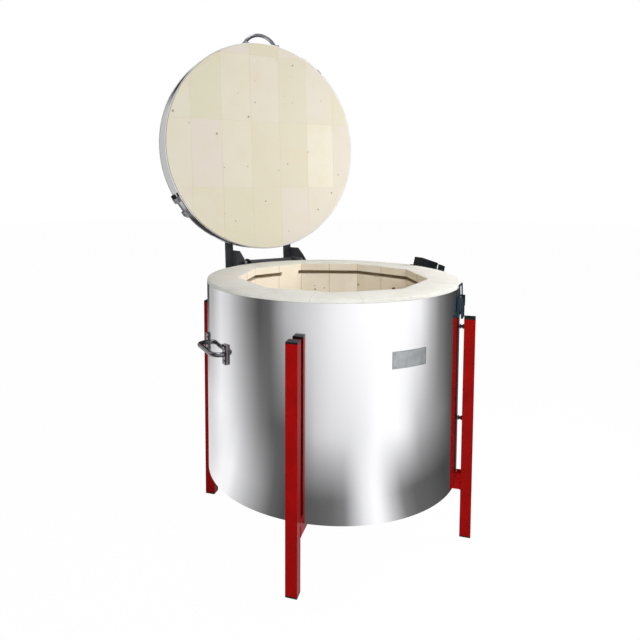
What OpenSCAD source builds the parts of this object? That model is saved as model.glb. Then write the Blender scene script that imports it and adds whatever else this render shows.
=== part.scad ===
// Round top-loading electric kiln on four legs, lid open. Front is -Y, hinge at +Y, floor at Z = 0.

/* [Body] */
// Outside diameter of the steel jacket
jacket_d = 720; // [600:5:840]
// Thickness of the jacket sheet
jacket_t = 1; // [0.6:0.1:2]
// Height of the jacket's lower edge above the floor
jacket_bottom = 166; // [150:1:230]
// Height of the chamber walls, in two brick courses
wall_h = 446; // [400:2:560]
// How far the brick rim stands above the jacket
rim_proud = 10; // [4:1:20]
// Thickness of the refractory bricks
brick_t = 76; // [64:1:90]
// Gap left at each brick joint
brick_joint = 0.6; // [0.4:0.1:0.9]
// Insulation left between the chamber's corners and the jacket
wall_corner_gap = 6; // [3:0.5:12]
// Number of flat sides of the chamber
chamber_sides = 9; // [8:1:10]
// Thickness of the board under the floor bricks
floor_board_t = 25; // [15:1:40]
// Thickness of the steel base plate
base_plate_t = 2; // [1:0.5:4]
// Length of a standard brick
brick_l = 230; // [200:5:260]
// Width of a standard brick
brick_w = 110; // [100:1:130]

/* [Heating elements] */
// Depth of the uppermost element below the rim
element_first = 28; // [20:1:40]
// Height between neighbouring elements
element_pitch = 80; // [60:1:84]
// Thickness of an element
element_t = 10; // [6:0.5:14]
// Depth of the element groove in the brick
groove_depth = 16; // [12:1:20]
// Diameter of an element lead through the wall
lead_d = 8; // [5:0.5:10]
// Distance of each lead from the middle of the back
lead_offset = 38; // [32:1:40]

/* [Lid] */
// Outside diameter of the lid's steel band
lid_d = 716; // [600:2:716]
// Thickness of the lid's bricks
lid_brick_t = 76; // [64:1:90]
// Thickness of the lid's band and cover sheet
lid_sheet_t = 1.2; // [0.8:0.1:2]
// Opening angle of the lid as it stands
lid_open = 93.5; // [91:0.5:100]
// Length of the block of the band's tension clamp
clamp_l = 70; // [60:1:90]

/* [Hinge] */
// Distance of the hinge axis behind the jacket
hinge_back = 50; // [46:1:55]
// Depth of the hinge axis below the rim
hinge_drop = 12; // [10:1:18]
// Outside diameter of the hinge tube
hinge_tube_d = 30; // [26:1:31]
// Length of the hinge tube
hinge_tube_l = 209; // [204:1:214]
// Diameter of the hinge pin
hinge_pin_d = 16; // [12:1:18]
// Thickness of the bright washer between the tube and each arm
hinge_washer_t = 8; // [5:0.5:10]
// Thickness of the hinge arm plates
arm_t = 5; // [4:0.5:7]
// Width of the arm's strap on the lid
strap_w = 30; // [26:1:32]
// Length of the strap along the lid
strap_l = 190; // [120:5:240]

/* [Legs] */
// Width of the square leg tube
leg_w = 30; // [25:1:35]
// Wall of the leg tube
leg_t = 2; // [1.5:0.5:3]
// Gap between the jacket and each leg
leg_gap = 12; // [11:1:18]
// Depth of the leg tops below the rim
leg_drop = 95; // [90:1:100]
// Height of the plastic cap on a leg
leg_cap_h = 5; // [3:0.5:8]
// Height of the plastic foot under a leg
foot_h = 4; // [2:0.5:8]
// Height of the block between the beam's end and the leg
leg_block_h = 15; // [8:1:24]
// Height of the lower standoff bolt above the floor
bolt_low = 335; // [300:1:420]
// Depth of the upper standoff bolt below the rim
bolt_drop = 123; // [122:1:128]
// Diameter of the standoff bolt
bolt_d = 8; // [6:0.5:10]

/* [Handles and latch] */
// Angle of the side handles from the front
side_handle_angle = 91.5; // [80:0.5:98]
// Depth of the side handles below the rim
side_handle_drop = 172; // [150:1:230]
// Width of a side handle between its bar centres
side_handle_w = 134; // [120:2:180]
// Reach of a side handle's bar from its pads
side_handle_reach = 27; // [24:1:45]
// Diameter of the side handles' bar
side_bar_d = 13; // [9:0.5:14]
// Width of the lid handle between its bar centres
lid_handle_w = 116; // [100:1:130]
// Reach of the lid handle's bar from its pads
lid_handle_reach = 33; // [26:1:42]
// Diameter of the lid handle's bar
lid_bar_d = 12; // [8:0.5:13]
// Angle of the latch from the front
latch_angle = 40; // [37:1:44]
// Width of the latch's base plate
latch_w = 46; // [40:1:50]

/* [Back cover and control socket] */
// Gap between the terminal cover and each hinge cheek
cover_gap = 5; // [4:0.5:10]
// Depth of the terminal cover behind the jacket
cover_depth = 26; // [24:1:28]
// Height of the terminal cover's lower edge
cover_bottom = 252; // [220:1:270]
// Angle of the control socket from the front
socket_angle = 99; // [96:1:104]
// Slope of the control socket, outer end down
socket_tilt = 17; // [10:1:22]
// Width of the control socket
socket_w = 34; // [28:1:40]
// Length of the control socket's housing
socket_l = 82; // [60:1:90]

/* [Hidden] */
$fn = 64;
wall_fn = 360;
clear = 0.3;
fit = 0.05;
// Body heights and radii
jacket_r = jacket_d / 2;
jacket_in = jacket_r - jacket_t;
floor_board_z = jacket_bottom + base_plate_t;
floor_z = floor_board_z + floor_board_t;
chamber_z = floor_z + brick_t;
rim_z = chamber_z + wall_h;
jacket_top = rim_z - rim_proud;
course_h = wall_h / 2;
// Chamber plan: the flat sides' distances from the axis
half_side = 180 / chamber_sides;
wall_out = (jacket_in - wall_corner_gap) * cos(half_side);
wall_in = wall_out - brick_t;
back_side = 180 + half_side / 2;
board_half = wall_out * tan(half_side) - clear;
// Elements, shared by the two courses
element_count = 6;
element_z = [for (i = [0 : element_count - 1])
    i < element_count / 2 ? rim_z - element_first - i * element_pitch
        : rim_z - course_h - element_first - (i - element_count / 2) * element_pitch];
groove_h = element_t + 1;
element_mid = wall_in + groove_depth - element_t / 2 - 2;
lead_end = jacket_r + 20;
terminal_bar_t = 8;
terminal_bar_w = 26;
clamp_ring_r = lead_d / 2 + 3;
clamp_ring_l = 8;
// Lid and hinge places, with the lid shut
lid_r = lid_d / 2;
lid_brick_r = lid_r - lid_sheet_t - 0.4;
lid_top = rim_z + lid_brick_t;
lid_cover_top = lid_top + lid_sheet_t;
lid_mid = rim_z + lid_brick_t / 2;
hinge_y = jacket_r + hinge_back;
hinge_z = rim_z - hinge_drop;
arm_shift = strap_w - arm_t;
tube_half = (hinge_tube_l - arm_shift) / 2;
arm_x = tube_half + hinge_washer_t + 2 * clear;
arm_pivot_r = hinge_pin_d / 2 + 10;
hinge_plate_h = 80;
hinge_plate_top = hinge_z + 7;
hinge_foot = hinge_plate_top - hinge_plate_h;
hinge_bolt_in = 12;
cheek_t = 6;
cheek_x = tube_half - cheek_t;
cheek_back = hinge_tube_d / 2 + 5;
cheek_top = hinge_z + hinge_tube_d / 2 + 4;
flange_from = asin(cheek_x / jacket_r);
flange_span = 7;
flange_t = 4;
strap_t = 5;
row_front = 85;
column_joint = -51;
sliver = 4;
clamp_angle = -124.5;
// Legs
leg_in = jacket_r + leg_gap;
leg_mid = leg_in + leg_w / 2;
leg_h = rim_z - leg_drop;
leg_top = leg_h - leg_cap_h;
bolt_high = rim_z - bolt_drop;
leg_angles = [-45, 45, 135, 225];
beam_w = leg_w;
beam_z = jacket_bottom - beam_w;
// Handles and latch
side_handle_z = rim_z - side_handle_drop;
bend_in = 3;
bar_sink = 4;
pad_w = 20;
pad_h = 52;
pad_proud = 4;
lid_pad_h = 36;
lid_handle_z = rim_z + lid_pad_h / 2 + 4;
latch_z = jacket_top - 43;
latch_u = 8;
latch_pin_r = 2.5;
latch_drop = 20;
latch_wire_r = 2;
latch_wire_u = 6;
latch_wire_w = latch_w + 6;
latch_lean = 2.2;
latch_flange_t = 1.5;
latch_wire_l = rim_z - 2 - (latch_z - latch_drop);
lever_half = latch_w / 2 - 3;
keeper_z = rim_z + 12;
keeper_u = 10;
// Back cover, thermocouple and socket
cover_top = rim_z - 11;
cover_w = 2 * (cheek_x - cheek_t / 2 - cover_gap);
cover_t = 1.2;
louvre_rows = 10;
louvre_pitch = 16;
louvre_w = 48;
louvre_z = cover_bottom + 60;
bracket_half = 24;
bracket_t = 3;
probe_z = rim_z - 66;
probe_r = 4;
probe_in = 2;
socket_u = 5;
socket_z = rim_z;
socket_h = 28;
socket_ring_l = 8;
socket_cap_l = 31;
bracket_top = socket_z + socket_u * sin(socket_tilt);
duct_h = 18;
duct_t = 9;
duct_z = rim_z - 115;
duct_from = asin((bracket_half + 1) / jacket_r);
duct_span = 180 - asin((cover_w / 2 + 1) / jacket_r) - socket_angle - duct_from;
plate_angle = 16;
plate_h = 42;
plate_drop = 151;
plate_z = rim_z - plate_drop;

// Helpers. In radial() the local X axis points outwards at an angle from the front, Y runs along the jacket.
module radial(angle) rotate([0, 0, angle - 90]) children();

// Puts pieces drawn on the shut lid where the open lid is
module lid_pose()
    translate([0, hinge_y, hinge_z]) rotate([-lid_open, 0, 0]) translate([0, -hinge_y, -hinge_z]) children();

// Corner of the chamber plan, at a flat-side distance
function corner(i, flat) = let (angle = back_side - half_side + i * 2 * half_side)
    [flat / cos(half_side) * sin(angle), -flat / cos(half_side) * cos(angle)];

module chamber_plan(flat) polygon([for (i = [0 : chamber_sides - 1]) corner(i, flat)]);

// Cylinder along the local X axis from one place to another
module rod_x(from, to, r) translate([from, 0, 0]) rotate([0, 90, 0]) cylinder(r = r, h = to - from);

// Cylinder along the local Y axis, centred
module rod_y(length, r) rotate([90, 0, 0]) cylinder(r = r, h = length, center = true);

// U-shaped bar: two legs along X from x = 0, round bends and a cross bar at the reach, spread along Y
module bow(width, reach, bend, r) {
    for (side = [-1, 1]) {
        translate([0, side * width / 2, 0]) rod_x(0, reach - bend, r);
        translate([reach - bend, side * (width / 2 - bend), 0]) rotate([0, 0, side > 0 ? 0 : -90])
            rotate_extrude(angle = 90) translate([bend, 0]) circle(r = r);
    }
    translate([reach, 0, 0]) rod_y(width - 2 * bend, r);
}

// Round bar bent to one arc, whose ends run a few degrees into the pads
module arc(width, reach, r) {
    arc_r = (width * width / 4 + reach * reach) / (2 * reach);
    half = asin(width / 2 / arc_r) + bar_sink;
    translate([reach - arc_r, 0, 0]) rotate([0, 0, -half])
        rotate_extrude(angle = 2 * half) translate([arc_r, 0]) circle(r = r);
}

// Two pads that sit on a round wall of radius wall_r, cast in one with the bar given as child
module bow_handle(wall_r, width, height) {
    seat = wall_r + clear;
    face = seat * cos(asin((width - pad_w) / 2 / seat)) + pad_proud;
    difference() {
        union() {
            for (side = [-1, 1])
                translate([face - 14, side * width / 2 - pad_w / 2, -height / 2]) cube([14, pad_w, height]);
            translate([face, 0, 0]) children();
        }
        translate([0, 0, -height]) cylinder(r = seat, h = 2 * height, $fn = wall_fn);
    }
}

// Two screw heads on each pad of a bow handle
module pad_screws(wall_r, width, spread) {
    seat = wall_r + clear;
    face = seat * cos(asin((width - pad_w) / 2 / seat)) + pad_proud;
    for (side = [-1, 1]) for (z = [-spread, spread])
        translate([face, side * width / 2, z]) rod_x(0, 2.5, 4);
}

// Legs and stand
module leg(i) color("firebrick") radial(leg_angles[i]) translate([leg_mid, 0, foot_h])
    difference() {
        translate([-leg_w / 2, -leg_w / 2, 0]) cube([leg_w, leg_w, leg_top - foot_h]);
        translate([-leg_w / 2 + leg_t, -leg_w / 2 + leg_t, -1])
            cube([leg_w - 2 * leg_t, leg_w - 2 * leg_t, leg_top - foot_h + 2]);
    }

module cross_beam_long() color("firebrick") radial(leg_angles[0])
    difference() {
        translate([-leg_in, -beam_w / 2, beam_z]) cube([2 * leg_in, beam_w, beam_w]);
        translate([-leg_in - 1, -beam_w / 2 + leg_t, beam_z + leg_t])
            cube([2 * leg_in + 2, beam_w - 2 * leg_t, beam_w - 2 * leg_t]);
    }

module cross_beam_short() color("firebrick") for (i = [1, 3]) radial(leg_angles[i])
    difference() {
        translate([beam_w / 2, -beam_w / 2, beam_z]) cube([leg_in - beam_w / 2, beam_w, beam_w]);
        translate([beam_w / 2 - 1, -beam_w / 2 + leg_t, beam_z + leg_t])
            cube([leg_in, beam_w - 2 * leg_t, beam_w - 2 * leg_t]);
    }

module leg_blocks() color("firebrick") for (angle = leg_angles) radial(angle)
    translate([0, 0, jacket_bottom]) difference() {
        translate([jacket_r - 4, -leg_w / 2, 0]) cube([leg_gap + 4, leg_w, leg_block_h]);
        translate([0, 0, -1]) cylinder(r = jacket_r + clear, h = leg_block_h + 2, $fn = wall_fn);
    }

module leg_caps() color("black") for (angle = leg_angles) radial(angle) translate([leg_mid, 0, leg_top]) {
    translate([-leg_w / 2, -leg_w / 2, 0]) cube([leg_w, leg_w, leg_cap_h]);
    plug = leg_w - 2 * leg_t - clear;
    translate([-plug / 2, -plug / 2, -12]) cube([plug, plug, 12.5]);
}

module foot_glides() color("black") for (angle = leg_angles) radial(angle) translate([leg_mid, 0, 0]) {
    translate([-leg_w / 2, -leg_w / 2, 0]) cube([leg_w, leg_w, foot_h]);
    plug = leg_w - 2 * leg_t - clear;
    translate([-plug / 2, -plug / 2, foot_h - 0.5]) cube([plug, plug, 12.5]);
}

module leg_bolts() color("dimgray") for (angle = leg_angles) radial(angle) for (z = [bolt_low, bolt_high])
    translate([0, 0, z]) difference() {
        rod_x(jacket_r - 6, leg_in, bolt_d / 2);
        translate([0, 0, -bolt_d]) cylinder(r = jacket_r + clear, h = 2 * bolt_d, $fn = wall_fn);
    }

// Body shell and linings
module lead_holes(r) for (z = element_z) for (side = [-1, 1])
    translate([side * lead_offset, wall_in - 20, z]) rotate([-90, 0, 0]) cylinder(r = r, h = brick_t + 80);

module probe_hole(r) radial(socket_angle) translate([0, 0, probe_z]) rod_x(wall_in - 20, jacket_r + 10, r);

module base_plate() color("silver") translate([0, 0, jacket_bottom])
    cylinder(r = jacket_in - clear, h = base_plate_t, $fn = wall_fn);

module jacket() color("gainsboro") difference() {
    jacket_h = jacket_top - jacket_bottom;
    translate([0, 0, jacket_bottom]) cylinder(r = jacket_r, h = jacket_h, $fn = wall_fn);
    translate([0, 0, jacket_bottom - 1]) cylinder(r = jacket_in, h = jacket_h + 2, $fn = wall_fn);
    lead_holes(lead_d / 2 + 1);
    probe_hole(probe_r + 1);
}

module insulation() color("whitesmoke") for (side = [0 : chamber_sides - 1]) difference() {
    intersection() {
        translate([0, 0, chamber_z + clear]) cylinder(r = jacket_in - clear, h = wall_h - 2, $fn = wall_fn);
        radial(back_side + side * 2 * half_side) translate([wall_out + clear, -board_half, chamber_z])
            cube([jacket_r, 2 * board_half, wall_h]);
    }
    lead_holes(lead_d / 2 + 0.5);
    probe_hole(probe_r + 0.5);
}

module floor_board() color("whitesmoke") translate([0, 0, floor_board_z])
    cylinder(r = jacket_in - 2 * clear, h = floor_board_t, $fn = wall_fn);

// Bricks of a round slab: rows of standard bricks cut to a circle, in straight columns
module brick_slab(r, h, first_joint) {
    rows = [for (y = [first_joint - 3 * brick_l : brick_l : first_joint + 2 * brick_l])
        if (y < r && y + brick_l > -r) y];
    for (y = rows) for (x = [column_joint - 4 * brick_w : brick_w : column_joint + 5 * brick_w]) {
        near = [max(0, x, -(x + brick_w)), max(0, y, -(y + brick_l))];
        if (norm(near) < r - sliver) intersection() {
            cylinder(r = r, h = h, $fn = wall_fn);
            translate([x + brick_joint / 2, y + brick_joint / 2, 0])
                cube([brick_w - brick_joint, brick_l - brick_joint, h]);
        }
    }
}

module floor_bricks() color("antiquewhite") translate([0, 0, floor_z])
    brick_slab(jacket_in - 2 * clear, brick_t - clear, -brick_l / 2);

// One wall brick: half of a flat side of the chamber
module wall_brick(half) {
    gap = brick_joint / 2;
    mitre = gap / cos(half_side);
    sign = half == 0 ? -1 : 1;
    polygon([[wall_in, sign * gap], [wall_in, sign * (wall_in * tan(half_side) - mitre)],
        [wall_out, sign * (wall_out * tan(half_side) - mitre)], [wall_out, sign * gap]]);
}

// Grooves of one flat side, with the back brick left plain between the leads
module side_grooves(side) difference() {
    radial(back_side + side * 2 * half_side) for (z = element_z)
        translate([wall_in - 1, -wall_out, z - groove_h / 2])
            cube([groove_depth + 1, 2 * wall_out, groove_h]);
    translate([-lead_offset + lead_d / 2, 0, chamber_z])
        cube([2 * lead_offset - lead_d, jacket_r, wall_h]);
}

module wall_course(z) for (side = [0 : chamber_sides - 1]) for (half = [0, 1]) difference() {
    radial(back_side + side * 2 * half_side) translate([0, 0, z]) linear_extrude(course_h - brick_joint)
        wall_brick(half);
    side_grooves(side);
    if (side == 0) lead_holes(lead_d / 2 + clear);
    probe_hole(probe_r + clear);
}

module wall_bricks_lower() color("antiquewhite") wall_course(chamber_z);

module wall_bricks_upper() color("antiquewhite") wall_course(chamber_z + course_h);

// Heating elements and their terminals
function lead_start(x) = (element_mid - x * sin(back_side)) / -cos(back_side);

module element(i) color("dimgray") {
    z = element_z[i];
    translate([0, 0, z - element_t / 2]) linear_extrude(element_t) difference() {
        chamber_plan(element_mid + element_t / 2);
        chamber_plan(element_mid - element_t / 2);
        translate([-lead_offset, 0]) square([2 * lead_offset, jacket_r]);
    }
    for (side = [-1, 1]) translate([side * lead_offset, lead_start(side * lead_offset), z])
        rotate([-90, 0, 0]) cylinder(r = lead_d / 2, h = lead_end - lead_start(side * lead_offset));
}

module terminal_bars() color("ivory") for (side = [-1, 1]) difference() {
    low = min(element_z) - 22;
    translate([side * lead_offset - terminal_bar_w / 2, jacket_r - 8, low])
        cube([terminal_bar_w, terminal_bar_t + 8, max(element_z) + 12 - low]);
    cylinder(r = jacket_r + clear, h = rim_z, $fn = wall_fn);
    lead_holes(lead_d / 2 + fit);
}

module terminal_clamps() color("goldenrod") for (z = element_z) for (side = [-1, 1])
    translate([side * lead_offset, jacket_r + terminal_bar_t + clear, z]) rotate([-90, 0, 0]) difference() {
        cylinder(r = clamp_ring_r, h = clamp_ring_l);
        translate([0, 0, -1]) cylinder(r = lead_d / 2 + fit, h = clamp_ring_l + 2);
    }

module terminal_cover() color("silver") difference() {
    cover_h = cover_top - cover_bottom;
    cover_y = jacket_r + cover_depth;
    translate([-cover_w / 2, jacket_r - 20, cover_bottom]) cube([cover_w, cover_depth + 20, cover_h]);
    translate([-cover_w / 2 + cover_t, 0, cover_bottom + cover_t])
        cube([cover_w - 2 * cover_t, cover_y - cover_t, cover_h - 2 * cover_t]);
    cylinder(r = jacket_r + clear, h = rim_z + 10, $fn = wall_fn);
    for (row = [0 : louvre_rows - 1]) for (column = [-1, 1])
        translate([column * cover_w / 4 - louvre_w / 2, jacket_r + 10, louvre_z + row * louvre_pitch])
            cube([louvre_w, cover_depth, 4]);
    translate([0, jacket_r + cover_depth / 2, cover_bottom - 1]) cylinder(r = 8 + clear, h = 10);
}

module cover_screws() color("dimgray") for (x = [-1, 1]) for (z = [cover_bottom + 14, cover_top - 40])
    translate([x * (cover_w / 2 - 10), jacket_r + cover_depth, z]) rotate([-90, 0, 0])
        cylinder(r = 4, h = 2.5);

module cable_gland() color("black") translate([0, jacket_r + cover_depth / 2, cover_bottom]) difference() {
    union() {
        translate([0, 0, -8]) cylinder(r = 11.5, h = 8, $fn = 6);
        translate([0, 0, -22]) cylinder(r = 9, h = 14.5);
        translate([0, 0, -1]) cylinder(r = 8, h = 9);
    }
    translate([0, 0, -30]) cylinder(r = 5, h = 50);
}

// Thermocouple, its head, and the control socket on one bracket
module thermocouple() color("sienna") radial(socket_angle) translate([0, 0, probe_z])
    rod_x(wall_in - probe_in, jacket_r + bracket_t + clear + 2, probe_r);

module thermocouple_head() color("black") radial(socket_angle)
    translate([jacket_r + bracket_t + clear, 0, probe_z]) difference() {
        union() {
            rod_x(0, 6, 14);
            translate([6, -15, -12]) cube([22, 30, 24]);
        }
        rod_x(-1, 4, probe_r + fit);
    }

module wiring_duct() color("silver") rotate([0, 0, socket_angle - 90 + duct_from])
    rotate_extrude(angle = duct_span) translate([jacket_r + clear, duct_z]) square([duct_t, duct_h]);

module tilted() radial(socket_angle) translate([jacket_r + socket_u, 0, socket_z]) rotate([0, socket_tilt, 0])
    children();

module socket_bracket() color("dimgray") difference() {
    union() {
        radial(socket_angle) translate([jacket_r - 4, -bracket_half, duct_z])
            cube([4 + bracket_t + clear, 2 * bracket_half, bracket_top - duct_z]);
        tilted() translate([-socket_u, -bracket_half + 4, -bracket_t])
            cube([socket_u + socket_l, 2 * bracket_half - 8, bracket_t]);
    }
    cylinder(r = jacket_r + clear, h = rim_z + 60, $fn = wall_fn);
    probe_hole(probe_r + fit);
}

module control_socket() color("darkslategray") tilted() translate([0, -socket_w / 2, 0])
    cube([socket_l, socket_w, socket_h]);

module socket_ring() color("lightgray") tilted() translate([socket_l, -socket_w / 2 + 4, 0])
    cube([socket_ring_l, socket_w - 8, socket_h - 5]);

module socket_cap() color("darkslategray") tilted() translate([socket_l + socket_ring_l, -socket_w / 2, 0])
    cube([socket_cap_l, socket_w, socket_h - 3]);

module nameplate() color("silver") rotate([0, 0, -90 - plate_angle / 2])
    rotate_extrude(angle = plate_angle) translate([jacket_r + clear, plate_z - plate_h / 2])
        square([1, plate_h]);

module nameplate_rivets() color("gray") for (angle = [-1, 1]) for (z = [-1, 1])
    radial(angle * (plate_angle / 2 - 1)) translate([0, 0, plate_z + z * (plate_h / 2 - 5)])
        rod_x(jacket_r + clear + 1, jacket_r + 2.4, 2);

// Hinge
module hinge_bracket() color("dimgray") difference() {
    union() for (side = [-1, 1]) {
        translate([side * cheek_x - cheek_t / 2, 0, 0]) rotate([90, 0, 90]) linear_extrude(cheek_t)
            polygon([[jacket_r - cheek_x / 2, hinge_foot], [jacket_r + flange_t, hinge_foot],
                [hinge_y + cheek_back, hinge_z - 16], [hinge_y + cheek_back, hinge_z + 9],
                [hinge_y + 9, cheek_top], [hinge_y - 9, cheek_top],
                [jacket_r - cheek_x / 2, hinge_plate_top]]);
        rotate([0, 0, side > 0 ? 90 - flange_from - flange_span : 90 + flange_from])
            rotate_extrude(angle = flange_span) translate([jacket_r + clear, hinge_foot])
                square([flange_t, hinge_plate_h]);
    }
    translate([0, 0, jacket_bottom]) cylinder(r = jacket_r + clear, h = rim_z, $fn = wall_fn);
    translate([0, hinge_y, hinge_z]) rod_x(-hinge_tube_l, hinge_tube_l, hinge_tube_d / 2 + fit);
}

module hinge_tube() color("dimgray") translate([0, hinge_y, hinge_z]) difference() {
    rod_x(-tube_half, tube_half + arm_shift, hinge_tube_d / 2);
    rod_x(-hinge_tube_l, hinge_tube_l, hinge_pin_d / 2 + fit);
}

module hinge_pin() color("silver") translate([0, hinge_y, hinge_z])
    rod_x(-arm_x - arm_t - 6, arm_x + strap_w + 6, hinge_pin_d / 2);

// Places for the same piece at both ends of the pin; the right arm turns on its strap's far edge
module pin_ends() translate([0, hinge_y, hinge_z]) {
    translate([arm_shift, 0, 0]) children();
    rotate([0, 0, 180]) children();
}

module hinge_pin_caps() color("black") pin_ends() difference() {
    rod_x(arm_x + arm_t + clear, arm_x + arm_t + 9, hinge_pin_d / 2 + 3);
    rod_x(arm_x, arm_x + arm_t + 6 + clear, hinge_pin_d / 2 + fit);
}

module hinge_washers() color("gainsboro") pin_ends() difference() {
    rod_x(tube_half + clear, tube_half + clear + hinge_washer_t, hinge_tube_d / 2 - 2);
    rod_x(0, arm_x, hinge_pin_d / 2 + fit);
}

module hinge_bolts() color("gray") for (side = [-1, 1])
    for (z = [hinge_foot + hinge_bolt_in, hinge_plate_top - hinge_bolt_in])
        radial(180 + side * (flange_from + 4.5)) translate([jacket_r + clear + flange_t, 0, z])
            rotate([0, 90, 0]) cylinder(r = 6, h = 4, $fn = 6);

// Lid arms, both alike: a strap on the lid's cover and, at its right edge, a plate that turns on the pin
module hinge_arms() color("dimgray") lid_pose() for (strap_x = [-arm_x - strap_w, arm_x]) difference() {
    union() {
        strap_z = lid_cover_top + clear;
        translate([strap_x, lid_r - strap_l, strap_z])
            cube([strap_w, strap_l + hinge_back + 24, strap_t]);
        translate([strap_x + arm_shift, 0, 0]) rotate([90, 0, 90]) linear_extrude(arm_t)
            polygon([[lid_r + 6, strap_z + 1], [lid_r + 6, rim_z + 16],
                [hinge_y - arm_pivot_r - 4, hinge_z - 8], [hinge_y - 13, hinge_z - arm_pivot_r],
                [hinge_y + 13, hinge_z - arm_pivot_r],
                [hinge_y + 22, hinge_z], [hinge_y + 22, strap_z + 1]]);
    }
    translate([0, hinge_y, hinge_z]) rod_x(-2 * arm_x, 2 * arm_x, hinge_pin_d / 2 + fit);
}

module arm_bolts() color("gray") lid_pose() for (side = [-1, 1]) for (y = [24, strap_l - 18])
    translate([side * (arm_x + strap_w / 2), lid_r - y, lid_cover_top + clear + strap_t])
        cylinder(r = 6.5, h = 4.5, $fn = 6);

// Lid
module lid_bricks() color("antiquewhite") lid_pose() translate([0, 0, rim_z + clear])
    brick_slab(lid_brick_r, lid_brick_t - 2 * clear, -row_front);

module lid_band() color("gainsboro") lid_pose() translate([0, 0, rim_z + 2]) difference() {
    cylinder(r = lid_r, h = lid_brick_t - 2, $fn = wall_fn);
    translate([0, 0, -1]) cylinder(r = lid_r - lid_sheet_t, h = lid_brick_t, $fn = wall_fn);
}

module lid_cover() color("gainsboro") lid_pose() translate([0, 0, lid_top])
    cylinder(r = lid_r, h = lid_sheet_t, $fn = wall_fn);

module lid_band_clamp() color("dimgray") lid_pose() radial(clamp_angle) translate([0, 0, lid_mid]) {
    for (side = [-1, 1]) difference() {
        translate([lid_r - 8, side * (clamp_l / 2 - 9) - 9, -16]) cube([22, 18, 32]);
        translate([0, 0, -20]) cylinder(r = lid_r + clear, h = 40, $fn = wall_fn);
        translate([lid_r + 8, 0, 0]) rod_y(2 * clamp_l, 3 + fit);
    }
    translate([lid_r + 8, 0, 0]) rod_y(clamp_l + 16, 3);
}

module lid_handle() color("silver") lid_pose() radial(0) translate([0, 0, lid_handle_z])
    bow_handle(lid_r, lid_handle_w, lid_pad_h) arc(lid_handle_w, lid_handle_reach, lid_bar_d / 2);

module lid_handle_screws() color("gray") lid_pose() radial(0) translate([0, 0, lid_handle_z])
    pad_screws(lid_r, lid_handle_w, lid_pad_h / 2 - 7);

module latch_keeper() color("gray") lid_pose() radial(latch_angle) difference() {
    union() {
        translate([lid_r - 4, -10, keeper_z]) cube([6.5, 20, 24]);
        translate([lid_r - 4, -10, keeper_z]) cube([keeper_u + 4, 20, 3]);
        translate([lid_r + keeper_u - 2, -10, keeper_z]) cube([2, 20, 8]);
    }
    cylinder(r = lid_r + clear, h = lid_top, $fn = wall_fn);
}

// Side handles
module side_handle(sign) color("silver") radial(sign * side_handle_angle) translate([0, 0, side_handle_z])
    bow_handle(jacket_r, side_handle_w, pad_h)
        bow(side_handle_w, side_handle_reach, side_handle_reach - bend_in, side_bar_d / 2);

module side_handle_screws() color("gray") for (sign = [-1, 1]) radial(sign * side_handle_angle)
    translate([0, 0, side_handle_z]) pad_screws(jacket_r, side_handle_w, pad_h / 2 - 9);

// Latch. In latch_place() X is measured outwards from the jacket.
module latch_place() radial(latch_angle) translate([jacket_r, 0, latch_z]) children();

module latch_base() color("lightslategray") latch_place() difference() {
    union() {
        translate([-1, -latch_w / 2, -34]) cube([3.5, latch_w, 54]);
        for (side = [-1, 1]) {
            translate([1, side * 8 - 1.5, -9]) cube([latch_u + 4, 3, 17]);
            translate([-1, side > 0 ? latch_w / 2 - latch_flange_t : -latch_w / 2, -10])
                cube([latch_u + 6, latch_flange_t, 30]);
        }
    }
    translate([-jacket_r, 0, -60]) cylinder(r = jacket_r + clear, h = 120, $fn = wall_fn);
    translate([latch_u, 0, 0]) rod_y(40, latch_pin_r + fit);
}

module latch_pin() color("silver") latch_place() translate([latch_u, 0, 0]) rod_y(21, latch_pin_r);

module latch_rivets() color("gray") latch_place() for (z = [-28, 15]) for (y = [-12, 12])
    translate([2.5, y, z]) rod_x(0, 1.6, 2.5);

module latch_lever() color("slategray") latch_place() difference() {
    union() {
        translate([latch_u, 0, 0]) rod_y(12.4, 5);
        translate([latch_u - 1, -6.2, -14]) cube([5, 12.4, 14]);
        translate([latch_u - 1, -lever_half, -38]) cube([5, 2 * lever_half, 26]);
        for (side = [-1, 1]) translate([latch_wire_u - 3, side > 0 ? lever_half - 3.5 : -lever_half, -25])
            cube([7, 3.5, 10]);
    }
    translate([latch_u, 0, 0]) rod_y(40, latch_pin_r + fit);
    translate([latch_wire_u, 0, -latch_drop]) rod_y(60, latch_wire_r + fit);
}

module latch_bail() color("silver") latch_place() translate([latch_wire_u, 0, -latch_drop])
    rotate([0, -latch_lean, 0]) {
    bend = 5;
    stub = lever_half - 3.5;
    rotate([0, -90, 0]) translate([bend, 0, 0]) bow(latch_wire_w, latch_wire_l - bend, bend, latch_wire_r);
    for (side = [-1, 1]) {
        translate([0, side * (latch_wire_w / 2 - bend), bend]) rotate([0, 90, 0])
            rotate([0, 0, side > 0 ? 0 : -90])
                rotate_extrude(angle = 90) translate([bend, 0]) circle(r = latch_wire_r);
        reach = latch_wire_w / 2 - bend - stub;
        translate([0, side * (stub + reach / 2), 0]) rod_y(reach, latch_wire_r);
    }
}

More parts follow.
